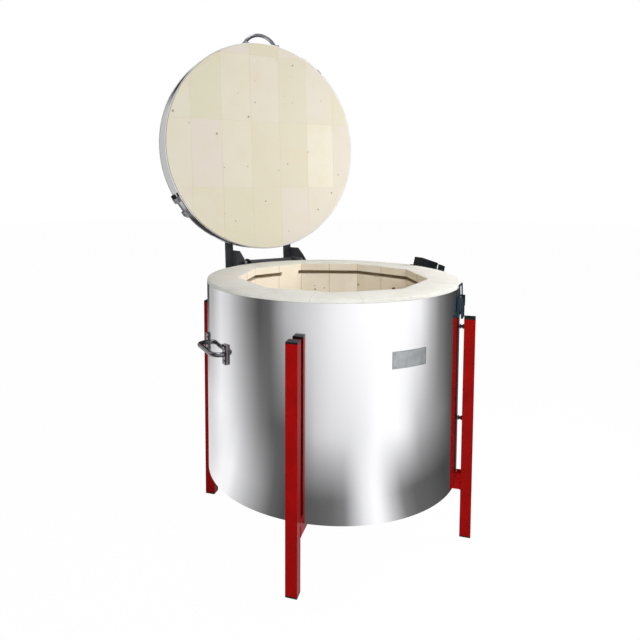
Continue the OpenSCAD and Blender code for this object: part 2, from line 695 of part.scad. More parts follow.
leg(0);  // leg_front_left
leg(1);  // leg_front_right
leg(2);  // leg_back_right
leg(3);  // leg_back_left
cross_beam_long();
cross_beam_short();
leg_blocks();
leg_caps();
foot_glides();
leg_bolts();
base_plate();
jacket();
insulation();
floor_board();
floor_bricks();
wall_bricks_lower();
wall_bricks_upper();
element(0);  // element_1
element(1);  // element_2
element(2);  // element_3
element(3);  // element_4
element(4);  // element_5
element(5);  // element_6
terminal_bars();
terminal_clamps();
terminal_cover();
cover_screws();
cable_gland();
thermocouple();
thermocouple_head();
wiring_duct();
socket_bracket();
control_socket();
socket_ring();
socket_cap();
nameplate();
nameplate_rivets();
hinge_bracket();
hinge_tube();
hinge_pin();
hinge_pin_caps();
hinge_washers();
hinge_bolts();
side_handle(-1);  // side_handle_left
side_handle(1);  // side_handle_right
side_handle_screws();
latch_base();
latch_pin();
latch_rivets();
latch_lever();
latch_bail();
lid_bricks();
lid_band();
lid_cover();
lid_band_clamp();
lid_handle();
lid_handle_screws();
hinge_arms();
arm_bolts();
latch_keeper();
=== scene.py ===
# %% [markdown]
# # An electric kiln, dressed in Blender
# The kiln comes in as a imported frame: every steel sheet, brick and bolt is already a solid of the right
# size. This lesson gives those solids their finishes, and replaces the few that need finer forms, such as
# the coiled heating wire and the screw heads. Everything is in metres, with the floor at Z = 0 and the
# lid's hinge at +Y.

# %% Load the frame
import math

import bmesh
import bpy
from mathutils import Matrix, Vector


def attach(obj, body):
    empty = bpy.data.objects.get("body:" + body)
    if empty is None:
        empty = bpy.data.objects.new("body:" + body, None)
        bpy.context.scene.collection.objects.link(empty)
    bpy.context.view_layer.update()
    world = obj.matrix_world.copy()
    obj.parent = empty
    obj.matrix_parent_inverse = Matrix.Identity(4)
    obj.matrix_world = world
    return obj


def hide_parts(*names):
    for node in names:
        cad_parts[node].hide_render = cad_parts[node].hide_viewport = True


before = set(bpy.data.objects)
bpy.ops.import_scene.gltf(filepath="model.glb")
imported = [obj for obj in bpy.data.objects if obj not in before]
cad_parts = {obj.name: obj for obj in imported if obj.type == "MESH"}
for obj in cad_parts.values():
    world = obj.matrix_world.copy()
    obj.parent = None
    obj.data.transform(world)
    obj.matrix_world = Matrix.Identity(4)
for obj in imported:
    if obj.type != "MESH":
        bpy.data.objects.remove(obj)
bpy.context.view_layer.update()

# %% [markdown]
# ## Sizes that the details share
# A detail has to sit on the solid that carries it, so the few sizes that several details need are written
# once here. Angles on the kiln are counted from its front, which looks along -Y, and grow towards +X.

# %% Shared sizes
JACKET_R = 0.360
JACKET_LOW, JACKET_TOP = 0.166, 0.705
RIM_Z = 0.715
CHAMBER_SIDES = 9
HALF_SIDE = math.pi / CHAMBER_SIDES
WALL_R, BRICK_T = 0.353, 0.076
WALL_OUT = WALL_R * math.cos(HALF_SIDE)
WALL_IN = WALL_OUT - BRICK_T
BACK_SIDE = math.radians(190)
HINGE = Vector((0, 0.410, 0.703))
LID_R = 0.358
LID_LOW, LID_MID, LID_TOP = 0.7153, 0.753, 0.7922
LID_SWING = math.radians(-93.5)
OPEN = Matrix.Translation(HINGE) @ Matrix.Rotation(LID_SWING, 4, "X") @ Matrix.Translation(-HINGE)
COVER_Y = JACKET_R + 0.026
LEG_TURNS = (-45, 45, 135, 225)


def facing(degrees):
    """Turns a piece drawn with X outwards, Y along the jacket and Z up to an angle from the kiln's front."""
    return Matrix.Rotation(math.radians(degrees - 90), 4, "Z")


print("chamber is", round(2 * WALL_IN * 1000), "mm between opposite walls")

# %% [markdown]
# ## Camera
# The photograph was taken from the kiln's front left, from above the rim, and its uprights stay upright:
# the camera was held almost level and its frame shifted down to the kiln, as a view camera does. Place,
# lens and shift came from the feet and tops of the legs, the rim, the jacket's edges and the outline of
# the lid. Part of the shift is traded for a slight tilt, so that the open lid also stays in the frame
# when the camera moves round to other sides.

# %% Camera
CAMERA_SIDE = math.radians(-31.80)
CAMERA_AWAY, CAMERA_UP = 1.7626, 0.9892
SENSOR_MM = 36
PHOTO_PX, FOCAL_PX = 640, 609.0
SHIFT_X_PX, SHIFT_Y_PX = 38, -92
lens = bpy.data.cameras.new("photo_camera")
lens.sensor_width = SENSOR_MM
lens.lens = FOCAL_PX * SENSOR_MM / PHOTO_PX
lens.shift_x = SHIFT_X_PX / PHOTO_PX
lens.shift_y = SHIFT_Y_PX / PHOTO_PX
camera = bpy.data.objects.new("photo_camera", lens)
bpy.context.scene.collection.objects.link(camera)
turn = Matrix.Rotation(CAMERA_SIDE, 3, "Z")
yaw, pitch = math.radians(4.71), math.radians(4.41)
camera.location = turn @ Vector((0, -CAMERA_AWAY, CAMERA_UP))
ahead = turn @ Vector((-math.sin(yaw) * math.cos(pitch), math.cos(yaw) * math.cos(pitch), -math.sin(pitch)))
camera.rotation_euler = ahead.to_track_quat("-Z", "Y").to_euler()
bpy.context.scene.camera = camera
print("camera at", [round(v, 3) for v in camera.location], "with a", round(lens.lens, 1), "mm lens")

# %% [markdown]
# ## Colour and node helpers
# Colours are written as they look on a screen, so one function turns an sRGB hex value into the linear
# light that the shaders use. One function adds any shader node, fills its inputs with numbers or with
# links, and sets its options. Pattern sizes are real: `per(mm)` gives the texture scale whose features
# are about that many millimetres wide.

# %% Helpers for materials


def colour(code):
    """sRGB hex to linear RGBA."""
    parts = [int(code[i:i + 2], 16) / 255 for i in (1, 3, 5)]
    return [c / 12.92 if c <= 0.04045 else ((c + 0.055) / 1.055) ** 2.4 for c in parts] + [1.0]


def add(tree, kind, inputs=None, stops=None, **options):
    """Adds a node; inputs take a value or another node's output, stops are a ramp's places and colours."""
    made = tree.nodes.new("ShaderNode" + kind)
    for name, value in options.items():
        setattr(made, name, value)
    for name, value in (inputs or {}).items():
        if isinstance(value, bpy.types.NodeSocket):
            tree.links.new(value, made.inputs[name])
        else:
            made.inputs[name].default_value = value
    if stops:
        while len(made.color_ramp.elements) < len(stops):
            made.color_ramp.elements.new(1.0)
        for element, (place, value) in zip(made.color_ramp.elements, stops):
            element.position = place
            element.color = colour(value) if isinstance(value, str) else (value, value, value, 1.0)
    return made


def per(mm):
    """Texture scale for features about so many millimetres wide."""
    return 1000.0 / mm


def noise(tree, place, mm, detail, **more):
    """A cloudy pattern with features of about that width."""
    return add(tree, "TexNoise", {"Vector": place, "Scale": per(mm), "Detail": detail, **more}).outputs[0]


def bumped(tree, shader, height, strength, distance):
    """Lets a pattern raise the surface by a distance in metres."""
    made = add(tree, "Bump", {"Strength": strength, "Distance": distance, "Height": height})
    tree.links.new(made.outputs[0], shader.inputs["Normal"])


def begin(name, **sockets):
    """A new material with its constant shader values, and the object's own coordinates for its patterns."""
    made = bpy.data.materials.new(name)
    made.use_nodes = True
    tree = made.node_tree
    shader = tree.nodes["Principled BSDF"]
    for socket, value in sockets.items():
        shader.inputs[socket.replace("_", " ")].default_value = value
    place = add(tree, "TexCoord").outputs["Object"]
    return made, tree, shader, place


print("helpers ready")

# %% [markdown]
# ## Stage: floor, world and a ring of soft boxes
# The photograph is a cut-out on white, so the world and the floor look white to the camera. The polished
# jacket has no colour of its own: what shows on it is the studio. A ring about the kiln, which only
# reflections see, carries the light and dark cards of that studio. Its steps began as the brightness that
# a script read across the jacket in the photograph, at the top, the middle and the foot, put at the
# directions that the round jacket mirrors. They were then rounded and changed.

# %% World
SKY_LIGHT = 0.22
scene = bpy.context.scene
scene.view_settings.view_transform = "Standard"
world = bpy.data.worlds.new("white_studio")
scene.world = world
world.use_nodes = True
sky = world.node_tree
rays = add(sky, "LightPath").outputs
seen = add(sky, "Math", {0: rays["Is Camera Ray"], 1: rays["Is Glossy Ray"]}, operation="MAXIMUM").outputs[0]
seen = add(sky, "Math", {0: seen, 1: rays["Is Transmission Ray"]}, operation="MAXIMUM").outputs[0]
white = add(sky, "Background", {"Color": colour("#FFFFFF"), "Strength": 1.0}).outputs[0]
soft = add(sky, "Background", {"Color": colour("#F4F5F7"), "Strength": SKY_LIGHT}).outputs[0]
mixed = add(sky, "MixShader", {0: seen, 1: soft, 2: white}).outputs[0]
sky.links.new(mixed, sky.nodes["World Output"].inputs["Surface"])
print("world: white to the eye, soft grey as a lamp")

# %% Floor
FLOOR_R, FLOOR_GLOW = 14, 0.985
bm = bmesh.new()
bmesh.ops.create_circle(bm, cap_ends=True, segments=96, radius=FLOOR_R)
disc = bpy.data.meshes.new("floor")
bm.to_mesh(disc)
bm.free()
floor = bpy.data.objects.new("floor", disc)
scene.collection.objects.link(floor)
paper, tree, shader, place = begin("white paper floor", Roughness=0.9)
shader.inputs["Base Color"].default_value = colour("#FFFFFF")
rays = add(tree, "LightPath").outputs
seen = add(tree, "Math", {0: rays["Is Camera Ray"], 1: rays["Is Glossy Ray"]}, operation="MAXIMUM").outputs[0]
share = add(tree, "Math", {0: seen, 1: FLOOR_GLOW}, operation="MULTIPLY").outputs[0]
glow = add(tree, "Emission", {"Color": colour("#FFFFFF"), "Strength": 1.0}).outputs[0]
both = add(tree, "MixShader", {0: share, 1: shader.outputs[0], 2: glow}).outputs[0]
tree.links.new(both, tree.nodes["Material Output"].inputs["Surface"])
disc.materials.append(paper)
print("floor disc", 2 * FLOOR_R, "m across")

# %% Ring of studio cards, seen by reflections only
CARD_R, CARD_STEPS, CARD_GLOW = 1.3, 180, 1.38
HIGH_CARDS = [(-180, .03), (-136, .03), (-129, .40), (-122, .38), (-114, .50), (-102, .70), (-90, .60),
              (-79, .40), (-67, .20), (-56, .08), (-46, .12), (-33, .45), (-10, .70), (1, .85), (13, .95),
              (24, 1.0), (58, 1.0), (70, .90), (81, .50), (93, .20), (105, .10), (120, .05), (180, .05)]
MID_CARDS = [(-180, .05), (-160, .05), (-152, .50), (-136, .55), (-124, .60), (-112, .75), (-101, .90),
             (-89, .80), (-78, .60), (-67, .40), (-55, .20), (-44, .10), (-33, .10), (-20, .35), (-10, .60),
             (1, .70), (13, .75), (24, .85), (33, 1.0), (50, 1.0), (58, .85), (69, .50), (81, .35), (92, .25),
             (104, .15), (118, .05), (180, .05)]
LOW_CARDS = [(-180, .05), (-160, .05), (-152, .50), (-124, .60), (-111, .65), (-101, .75), (-90, .90),
             (-78, .90), (-70, .70), (-60, .50), (-49, .30), (-39, .12), (-29, .07), (-9, .10), (1, .13),
             (9, .20), (13, .40), (21, .80), (28, 1.0), (32, .95), (40, .55), (49, .20), (59, .12), (72, .10),
             (93, .06), (140, .05), (180, .05)]
bm = bmesh.new()
rings = []
for radius, z in ((0.42, 0.002), (CARD_R - 0.1, 0.002), (CARD_R, 0.1), (CARD_R, 2.6)):
    rings.append([bm.verts.new((radius * math.sin(a), -radius * math.cos(a), z))
                  for a in (2 * math.pi * i / CARD_STEPS for i in range(CARD_STEPS))])
for low, high in zip(rings, rings[1:]):
    for i in range(CARD_STEPS):
        j = (i + 1) % CARD_STEPS
        bm.faces.new((low[i], low[j], high[j], high[i]))
ring = bpy.data.meshes.new("card_ring")
bm.to_mesh(ring)
bm.free()
cards = bpy.data.objects.new("card_ring", ring)
cards.rotation_euler[2] = CAMERA_SIDE
scene.collection.objects.link(cards)
for flag in ("camera", "diffuse", "shadow", "volume_scatter"):
    setattr(cards, "visible_" + flag, False)
paint, tree, shader, place = begin("studio cards")
flat = add(tree, "SeparateXYZ", {0: place}).outputs
back = add(tree, "Math", {0: flat["Y"], 1: -1.0}, operation="MULTIPLY").outputs[0]
angle = add(tree, "Math", {0: flat["X"], 1: back}, operation="ARCTAN2").outputs[0]
around = add(tree, "MapRange", {0: angle, 1: -math.pi, 2: math.pi}).outputs[0]
levels = []
for table in (LOW_CARDS, MID_CARDS, HIGH_CARDS):
    stops = [((a + 180) / 360, v) for a, v in table]
    levels.append(add(tree, "ValToRGB", {0: around}, stops=stops).outputs["Color"])
reach = add(tree, "CombineXYZ", {0: flat["X"], 1: flat["Y"]}).outputs[0]
reach = add(tree, "VectorMath", {0: reach}, operation="LENGTH").outputs["Value"]
height = add(tree, "Math", {0: flat["Z"], 1: reach}, operation="ADD").outputs[0]
level = levels[0]
for above, start, stop in ((levels[1], 0.78, 1.25), (levels[2], 1.25, 1.75)):
    rise = add(tree, "MapRange", {0: height, 1: start, 2: stop}).outputs[0]
    level = add(tree, "Mix", {0: rise, 6: level, 7: above}, data_type="RGBA").outputs[2]
shine = add(tree, "Emission", {"Color": level, "Strength": CARD_GLOW}).outputs[0]
tree.links.new(shine, tree.nodes["Material Output"].inputs["Surface"])
ring.materials.append(paint)
print("card ring of", len(HIGH_CARDS), len(MID_CARDS), "and", len(LOW_CARDS), "steps")

# %% [markdown]
# ## Lamps
# Bricks and paint are lit by the soft grey world and by four area lamps: a key beside the lid on the
# right, one high in front, a low fill on the left for the legs, and one overhead that looks into the
# chamber. Large lamps give the soft shading of a studio. Only the overhead lamp shows in reflections.

# %% Lamps
LAMP_AIM = Vector((0, 0, 0.75))
LAMPS = (("key", (1.3, 0.3, 1.15), 0.5, 13), ("high", (0.6, -1.3, 1.4), 1.0, 17),
         ("overhead", (-0.35, 0.3, 3.0), 0.8, 16), ("fill", (-1.5, -1.5, 0.35), 0.8, 9))
for name, place, size, power in LAMPS:
    lamp = bpy.data.lights.new(name + "_lamp", "AREA")
    lamp.size = size
    lamp.energy = power
    stand = bpy.data.objects.new(name + "_lamp", lamp)
    stand.location = turn @ Vector(place)
    stand.visible_camera = False
    stand.visible_glossy = name == "overhead"
    stand.rotation_euler = (LAMP_AIM - stand.location).to_track_quat("-Z", "Y").to_euler()
    scene.collection.objects.link(stand)
    print("lamp", name, power, "W")

# %% [markdown]
# ## Sheet metal finishes
# The jacket and the lid's band are bright annealed stainless sheet, rolled between polished rolls, so it
# mirrors the studio almost sharply; a faint waviness of the sheet and a few dull smears keep it from
# looking like glass. The back cover, duct and plates are the same steel with a brushed face: fine lines
# along one direction. The lines are a fraction of a millimetre on the real sheet, and are drawn about
# three times as coarse so that they show.

# %% Stainless steel
polished = {}
for name, tint in (("bright annealed stainless sheet", "#DEDEE0"), ("polished stainless band", "#F6F6F7")):
    made, tree, shader, place = begin(name, Metallic=1.0)
    shader.inputs["Base Color"].default_value = colour(tint)
    smear = noise(tree, place, 90, 5.0, Roughness=0.6)
    dull = add(tree, "MapRange", {0: smear, 1: 0.35, 2: 0.75, 3: 0.06, 4: 0.13}).outputs[0]
    tree.links.new(dull, shader.inputs["Roughness"])
    wave = noise(tree, place, 240, 1.0)
    bumped(tree, shader, wave, 0.10, 0.004)
    polished[name.split()[-1]] = made

brushed_steel, tree, shader, place = begin("brushed stainless sheet", Metallic=1.0)
stretch = add(tree, "Mapping", {0: place, "Scale": (per(1.2), per(1.2), per(70))}).outputs[0]
lines = add(tree, "TexNoise", {"Vector": stretch, "Scale": 1.0, "Detail": 3.0}).outputs[0]
tone = add(tree, "ValToRGB", {0: lines}, stops=[(0.3, "#B4B5B7"), (0.7, "#CFD0D1")]).outputs[0]
tree.links.new(tone, shader.inputs["Base Color"])
dull = add(tree, "MapRange", {0: lines, 1: 0.3, 2: 0.7, 3: 0.24, 4: 0.36}).outputs[0]
tree.links.new(dull, shader.inputs["Roughness"])
bumped(tree, shader, lines, 0.15, 0.0002)
print("stainless: polished and brushed")

# %% [markdown]
# ## Powder coat
# The stand is sprayed with polyester powder and baked. The film flows out into a soft gloss with a slight
# orange peel, ripples about 2 mm apart. The hinge has a dark grey powder with a finer, drier texture.

# %% Powder coats
powder_coats = {}
for name, dark, light, gloss, shine, ripple, depth in (
        ("red polyester powder coat", "#920706", "#9E0807", 0.34, 0.04, 2.0, 0.05),
        ("anthracite textured powder coat", "#323336", "#3E3F42", 0.52, 0.3, 0.8, 0.25)):
    made, tree, shader, place = begin(name, Roughness=gloss, Specular_IOR_Level=shine)
    cloud = noise(tree, place, 55, 4.0)
    tone = add(tree, "ValToRGB", {0: cloud}, stops=[(0.35, dark), (0.65, light)]).outputs[0]
    tree.links.new(tone, shader.inputs["Base Color"])
    peel = noise(tree, place, ripple, 2.0)
    bumped(tree, shader, peel, depth, 0.0004)
    powder_coats[name.split()[0]] = made
print("powder coats:", sorted(powder_coats))

# %% [markdown]
# ## Insulating firebrick
# The bricks are fired clay full of burnt-out sawdust, so they are cream, dead matt and porous. Each brick
# came from another spot in the tunnel oven and differs a little in tone; `Random Per Island` gives each
# separate brick its own value. Pits are spots of a Voronoi pattern: cells about 30 mm apart, of which
# only some get a pit, up to 8 mm across; each pit is sunk by the bump and also coloured dark brown, which
# is painted shade in the hollow. The grooves in the wall are browned by the hot wire, and the colour there
# is darkened well beyond that as painted shade inside the groove, so it darkens at the heights of the six
# elements. Between the tails at the back there is no groove, and the brick stays plain.

# %% Firebrick
FIRST_GROOVE, COURSE_STEP, GROOVE_STEP = 0.028, 0.223, 0.080
ELEMENT_Z = [RIM_Z - FIRST_GROOVE - course * COURSE_STEP - i * GROOVE_STEP
             for course in (0, 1) for i in range(3)]
GROOVE_BURN_AND_SHADE, PLAIN_HALF = 0.0052, 0.034
firebrick = {}
BRICK_TONES = {"lid": ("#D9D2BA", "#DED8C6", "#DED5CA", "#D7D3BA", "#E4DECD"),
               "wall": ("#F1E7D5", "#F5ECDB", "#F3E8D8", "#EFE4CE", "#F8F0E2")}
for key, name in (("lid", "lid firebrick, ground flat"), ("wall", "wall firebrick, grooved")):
    made, tree, shader, place = begin(name, Roughness=0.95, Specular_IOR_Level=0.2)
    island = add(tree, "NewGeometry").outputs["Random Per Island"]
    stops = list(zip((0.0, 0.3, 0.55, 0.8, 1.0), BRICK_TONES[key]))
    tone = add(tree, "ValToRGB", {0: island}, stops=stops).outputs[0]
    cloud = noise(tree, place, 70, 5.0)
    stain = add(tree, "MapRange", {0: cloud, 1: 0.45, 2: 0.8, 3: 0.0, 4: 0.3}).outputs[0]
    tone = add(tree, "Mix", {0: stain, 6: tone, 7: colour("#D8CBA8")}, data_type="RGBA").outputs[2]
    cells = add(tree, "TexVoronoi", {"Vector": place, "Scale": per(30)}).outputs
    chance = add(tree, "SeparateColor", {0: cells["Color"]}).outputs[0]
    size = add(tree, "MapRange", {0: chance, 1: 0.45, 2: 1.0, 3: 0.0, 4: 0.14}).outputs[0]
    pit = add(tree, "Math", {0: cells["Distance"], 1: size}, operation="LESS_THAN").outputs[0]
    # Each pit is coloured dark brown: painted shade in the hollow of the pit.
    pit_shade = add(tree, "Math", {0: pit, 1: 0.62}, operation="MULTIPLY").outputs[0]
    tone = add(tree, "Mix", {0: pit_shade, 6: tone, 7: colour("#6B5B40")}, data_type="RGBA").outputs[2]
    if key == "wall":
        spot = add(tree, "SeparateXYZ", {0: place}).outputs
        near = 0.0
        for level in ELEMENT_Z:
            here = add(tree, "Math", {0: spot["Z"], 1: level, 2: GROOVE_BURN_AND_SHADE}, operation="COMPARE").outputs[0]
            near = add(tree, "Math", {0: here, 1: near}, operation="MAXIMUM").outputs[0]
        side = add(tree, "Math", {0: spot["X"], 1: 0.0, 2: PLAIN_HALF}, operation="COMPARE").outputs[0]
        behind = add(tree, "Math", {0: spot["Y"], 1: 0.2}, operation="GREATER_THAN").outputs[0]
        plain = add(tree, "Math", {0: side, 1: behind}, operation="MULTIPLY").outputs[0]
        # The groove band mixes in a dark brown: browning by the wire and painted shade inside the groove.
        groove_burn_and_shade = add(tree, "Math", {0: near, 1: plain}, operation="SUBTRACT", use_clamp=True).outputs[0]
        tone = add(tree, "Mix", {0: groove_burn_and_shade, 6: tone, 7: colour("#44361F")}, data_type="RGBA").outputs[2]
    tree.links.new(tone, shader.inputs["Base Color"])
    grain = noise(tree, place, 3, 6.0)
    rough = add(tree, "Math", {0: grain, 1: pit}, operation="SUBTRACT").outputs[0]
    bumped(tree, shader, rough, 0.35, 0.0012)
    firebrick[key] = made
print("firebrick:", sorted(firebrick))

# %% [markdown]
# ## Rim wash and fibre board
# The rim that carries the lid is brushed with a pale refractory wash: smoother and whiter than the
# bricks, with the joints of the wall just showing through as faint lines every 20 degrees. The boards
# behind the bricks are pressed ceramic fibre, white and felt-like.

# %% Rim wash and fibre board
rim_wash, tree, shader, place = begin("brushed refractory wash", Roughness=0.85, Specular_IOR_Level=0.25)
cloud = noise(tree, place, 60, 6.0, Roughness=0.65)
WASH_TONES = [(0.3, "#D4D2C8"), (0.5, "#DCDAD2"), (0.75, "#E2E1DA")]
tone = add(tree, "ValToRGB", {0: cloud}, stops=WASH_TONES).outputs[0]
flat = add(tree, "SeparateXYZ", {0: place}).outputs
turned = add(tree, "Math", {0: flat["X"], 1: flat["Y"]}, operation="ARCTAN2").outputs[0]
count = add(tree, "Math", {0: turned, 1: 1 / HALF_SIDE, 2: 100.5}, operation="MULTIPLY_ADD").outputs[0]
part = add(tree, "Math", {0: count}, operation="FRACT").outputs[0]
joint = add(tree, "Math", {0: part, 1: 0.5, 2: 0.006}, operation="COMPARE").outputs[0]
faint = add(tree, "Math", {0: joint, 1: cloud}, operation="MULTIPLY").outputs[0]
tone = add(tree, "Mix", {0: faint, 6: tone, 7: colour("#BDB39C")}, data_type="RGBA").outputs[2]
tree.links.new(tone, shader.inputs["Base Color"])
brush = noise(tree, place, 5, 5.0)
bumped(tree, shader, brush, 0.2, 0.0008)

fibre, tree, shader, place = begin("pressed ceramic fibre board", Roughness=1.0, Specular_IOR_Level=0.1)
strands = noise(tree, place, 4, 8.0, Distortion=1.5)
tone = add(tree, "ValToRGB", {0: strands}, stops=[(0.3, "#D9D7D0"), (0.7, "#ECEBE6")]).outputs[0]
tree.links.new(tone, shader.inputs["Base Color"])
bumped(tree, shader, strands, 0.4, 0.001)
print("rim wash and fibre board")

# %% [markdown]
# ## Small metals
# Handles have a dark gunmetal plate. Screws and bolts are zinc-plated, standoff bolts are blackened, and
# the latch has a dark blue passivation. Terminals are brass, the plate is anodised aluminium, and the
# heating wire is iron-chromium-aluminium with its brown oxide skin. They share one recipe: a metal colour
# that drifts slightly from spot to spot, and a roughness that goes with it.

# %% Small metals
metals = {}
for name, dark, light, low, high, metal, spot in (
        ("zinc plate", "#8E9296", "#B6BABD", 0.25, 0.42, 1.0, 5),
        ("gunmetal plate", "#66666B", "#7E7E83", 0.05, 0.12, 1.0, 12),
        ("passivated latch steel", "#25323B", "#3A4A56", 0.28, 0.45, 0.9, 8),
        ("blackened steel", "#1C1D1F", "#2E3033", 0.40, 0.60, 0.8, 6),
        ("turned brass", "#A07C32", "#C7A252", 0.25, 0.40, 1.0, 6),
        ("oxidised heating wire", "#937F5E", "#B7A27D", 0.55, 0.75, 0.2, 4),
        ("anodised aluminium", "#8E9194", "#A6A9AB", 0.28, 0.36, 1.0, 20)):
    made, tree, shader, place = begin(name, Metallic=metal)
    cloud = noise(tree, place, spot, 4.0)
    tone = add(tree, "ValToRGB", {0: cloud}, stops=[(0.3, dark), (0.7, light)]).outputs[0]
    tree.links.new(tone, shader.inputs["Base Color"])
    dull = add(tree, "MapRange", {0: cloud, 1: 0.3, 2: 0.7, 3: low, 4: high}).outputs[0]
    tree.links.new(dull, shader.inputs["Roughness"])
    metals[name.split()[0]] = made
print("metals:", sorted(metals))

# %% [markdown]
# ## Plastics and ceramics
# Leg caps and feet are moulded black polypropylene with a fine spark-eroded grain, which scatters the
# highlight. The socket is a blue-black glass-filled nylon with a pale silicone seal. Terminals sit on
# glazed steatite, and the thermocouple tip is a brown mullite tube.

# %% Plastics and ceramics
moulded = {}
for name, dark, light, gloss, shine, grain, depth in (
        ("black polypropylene, spark-eroded", "#0B0B0C", "#131314", 0.38, 0.2, 0.7, 0.12),
        ("nylon socket, glass-filled", "#0B0F12", "#151B1F", 0.46, 0.2, 0.9, 0.15),
        ("silicone seal", "#F0F0EC", "#FAFAF7", 0.55, 0.4, 2.0, 0.05),
        ("steatite, glazed", "#DDD3BC", "#E9E1CE", 0.22, 0.5, 9.0, 0.05),
        ("mullite tube", "#5E3F26", "#8A6440", 0.75, 0.3, 3.0, 0.25)):
    made, tree, shader, place = begin(name, Roughness=gloss, Specular_IOR_Level=shine)
    cloud = noise(tree, place, 18, 4.0)
    tone = add(tree, "ValToRGB", {0: cloud}, stops=[(0.3, dark), (0.7, light)]).outputs[0]
    tree.links.new(tone, shader.inputs["Base Color"])
    fine = noise(tree, place, grain, 2.0)
    bumped(tree, shader, fine, depth, 0.0003)
    moulded[name.split()[0].strip(",")] = made
print("moulded:", sorted(moulded))

# %% [markdown]
# ## Finishes and softened edges on the solids
# Each solid takes its material, and a bevel that rounds its sharp edges as much as the real piece has:
# about 2.5 mm on rolled leg tube, less on folded sheet. The solids come as triangles, so a weld and a
# planar dissolve come first, and the bevel then meets clean faces.

# %% Dress the solids
FINISHES = (
    (powder_coats["red"], 2.5, "leg_front_left leg_front_right leg_back_right leg_back_left cross_beam_long "
                               "cross_beam_short"),
    (powder_coats["red"], 0.8, "leg_blocks"),
    (powder_coats["anthracite"], 1.0, "hinge_bracket hinge_arms socket_bracket"),
    (powder_coats["anthracite"], 0.0, "hinge_tube"),
    (polished["sheet"], 0.0, "jacket"),
    (polished["band"], 0.0, "lid_band"),
    (brushed_steel, 0.0, "base_plate lid_cover"),
    (brushed_steel, 0.8, "terminal_cover wiring_duct"),
    (firebrick["wall"], 0.8, "wall_bricks_lower wall_bricks_upper floor_bricks"),
    (firebrick["lid"], 0.3, "lid_bricks"),
    (fibre, 0.0, "insulation floor_board"),
    (moulded["black"], 1.4, "leg_caps foot_glides"),
    (moulded["black"], 1.0, "thermocouple_head hinge_pin_caps"),
    (moulded["nylon"], 2.2, "control_socket socket_cap"),
    (moulded["silicone"], 1.0, "socket_ring"),
    (moulded["steatite"], 0.5, "terminal_bars"),
    (moulded["mullite"], 0.5, "thermocouple"),
    (metals["turned"], 0.4, "terminal_clamps"),
    (metals["gunmetal"], 0.8, "side_handle_left side_handle_right lid_handle lid_band_clamp"),
    (metals["passivated"], 0.5, "latch_base latch_lever latch_keeper"),
    (metals["zinc"], 0.4, "latch_pin hinge_pin hinge_washers"),
    (metals["blackened"], 0.0, "leg_bolts"),
    (metals["passivated"], 0.0, "latch_bail"),
    (metals["anodised"], 0.0, "nameplate"),
)
WELD_GAP = 0.00001
FLAT_ANGLE, SHARP_ANGLE = math.radians(0.6), math.radians(40)
for material, edge, names in FINISHES:
    for name in names.split():
        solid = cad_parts[name]
        solid.data.materials.clear()
        solid.data.materials.append(material)
        if edge:
            weld = solid.modifiers.new("weld", "WELD")
            weld.merge_threshold = WELD_GAP
            flat = solid.modifiers.new("flat", "DECIMATE")
            flat.decimate_type = "DISSOLVE"
            flat.angle_limit = FLAT_ANGLE
            soft = solid.modifiers.new("soft", "BEVEL")
            soft.width = edge / 1000
            soft.segments = 3 if edge > 1 else 2
            soft.limit_method = "ANGLE"
            soft.angle_limit = SHARP_ANGLE
            smooth = solid.modifiers.new("smooth", "WEIGHTED_NORMAL")
            smooth.keep_sharp = True
print("dressed", sum(len(names.split()) for _, _, names in FINISHES), "solids")

# %% [markdown]
# ## Mesh helpers
# Small parts are turned or drawn. `turned` spins a profile of (radius, height) pairs about the local Z
# axis, as a lathe does. `drawn` sweeps a round wire along points without letting it twist. `bridged`
# joins rings of points into a skin. `piece` closes a mesh into an object, gives it its finish, and lets
# it ride on the body that carries it.

# %% Mesh helpers


def turned(bm, profile, where, sides=24, press=None):
    """Spins the profile about Z at a place; press may lower a point by its radius and angle."""
    rings = []
    for r, h in profile:
        if r == 0:
            rings.append([bm.verts.new(where @ Vector((0, 0, h - (press(0, 0) if press else 0))))])
            continue
        around = [2 * math.pi * i / sides for i in range(sides)]
        rings.append([bm.verts.new(where @ Vector((r * math.cos(a), r * math.sin(a),
                                                   h - (press(r, a) if press else 0)))) for a in around])
    for low, high in zip(rings, rings[1:]):
        for i in range(sides):
            j = (i + 1) % sides
            if len(low) == 1:
                bm.faces.new((low[0], high[j], high[i]))
            elif len(high) == 1:
                bm.faces.new((low[i], low[j], high[0]))
            else:
                bm.faces.new((low[i], low[j], high[j], high[i]))


def drawn(bm, points, radius, sides=8):
    """Sweeps a round wire along the points and closes both ends."""
    rings = []
    side = None
    for i, p in enumerate(points):
        along = (points[min(i + 1, len(points) - 1)] - points[max(i - 1, 0)]).normalized()
        side = along.orthogonal() if side is None else side - along * side.dot(along)
        side.normalize()
        up = along.cross(side)
        rings.append([bm.verts.new(p + radius * (math.cos(a) * side + math.sin(a) * up))
                      for a in (2 * math.pi * k / sides for k in range(sides))])
    for low, high in zip(rings, rings[1:]):
        for k in range(sides):
            bm.faces.new((low[k], low[(k + 1) % sides], high[(k + 1) % sides], high[k]))
    bm.faces.new(rings[0][::-1])
    bm.faces.new(rings[-1])


def bridged(bm, rings, closed=False):
    """Joins each ring of points to the next. A closed row ends at its start, an open one in end faces."""
    for near, far in zip(rings, rings[1:] + rings[:1] if closed else rings[1:]):
        for k in range(len(near)):
            n = (k + 1) % len(near)
            bm.faces.new((near[k], far[k], far[n], near[n]))
    if not closed:
        bm.faces.new(rings[0])
        bm.faces.new(rings[-1][::-1])


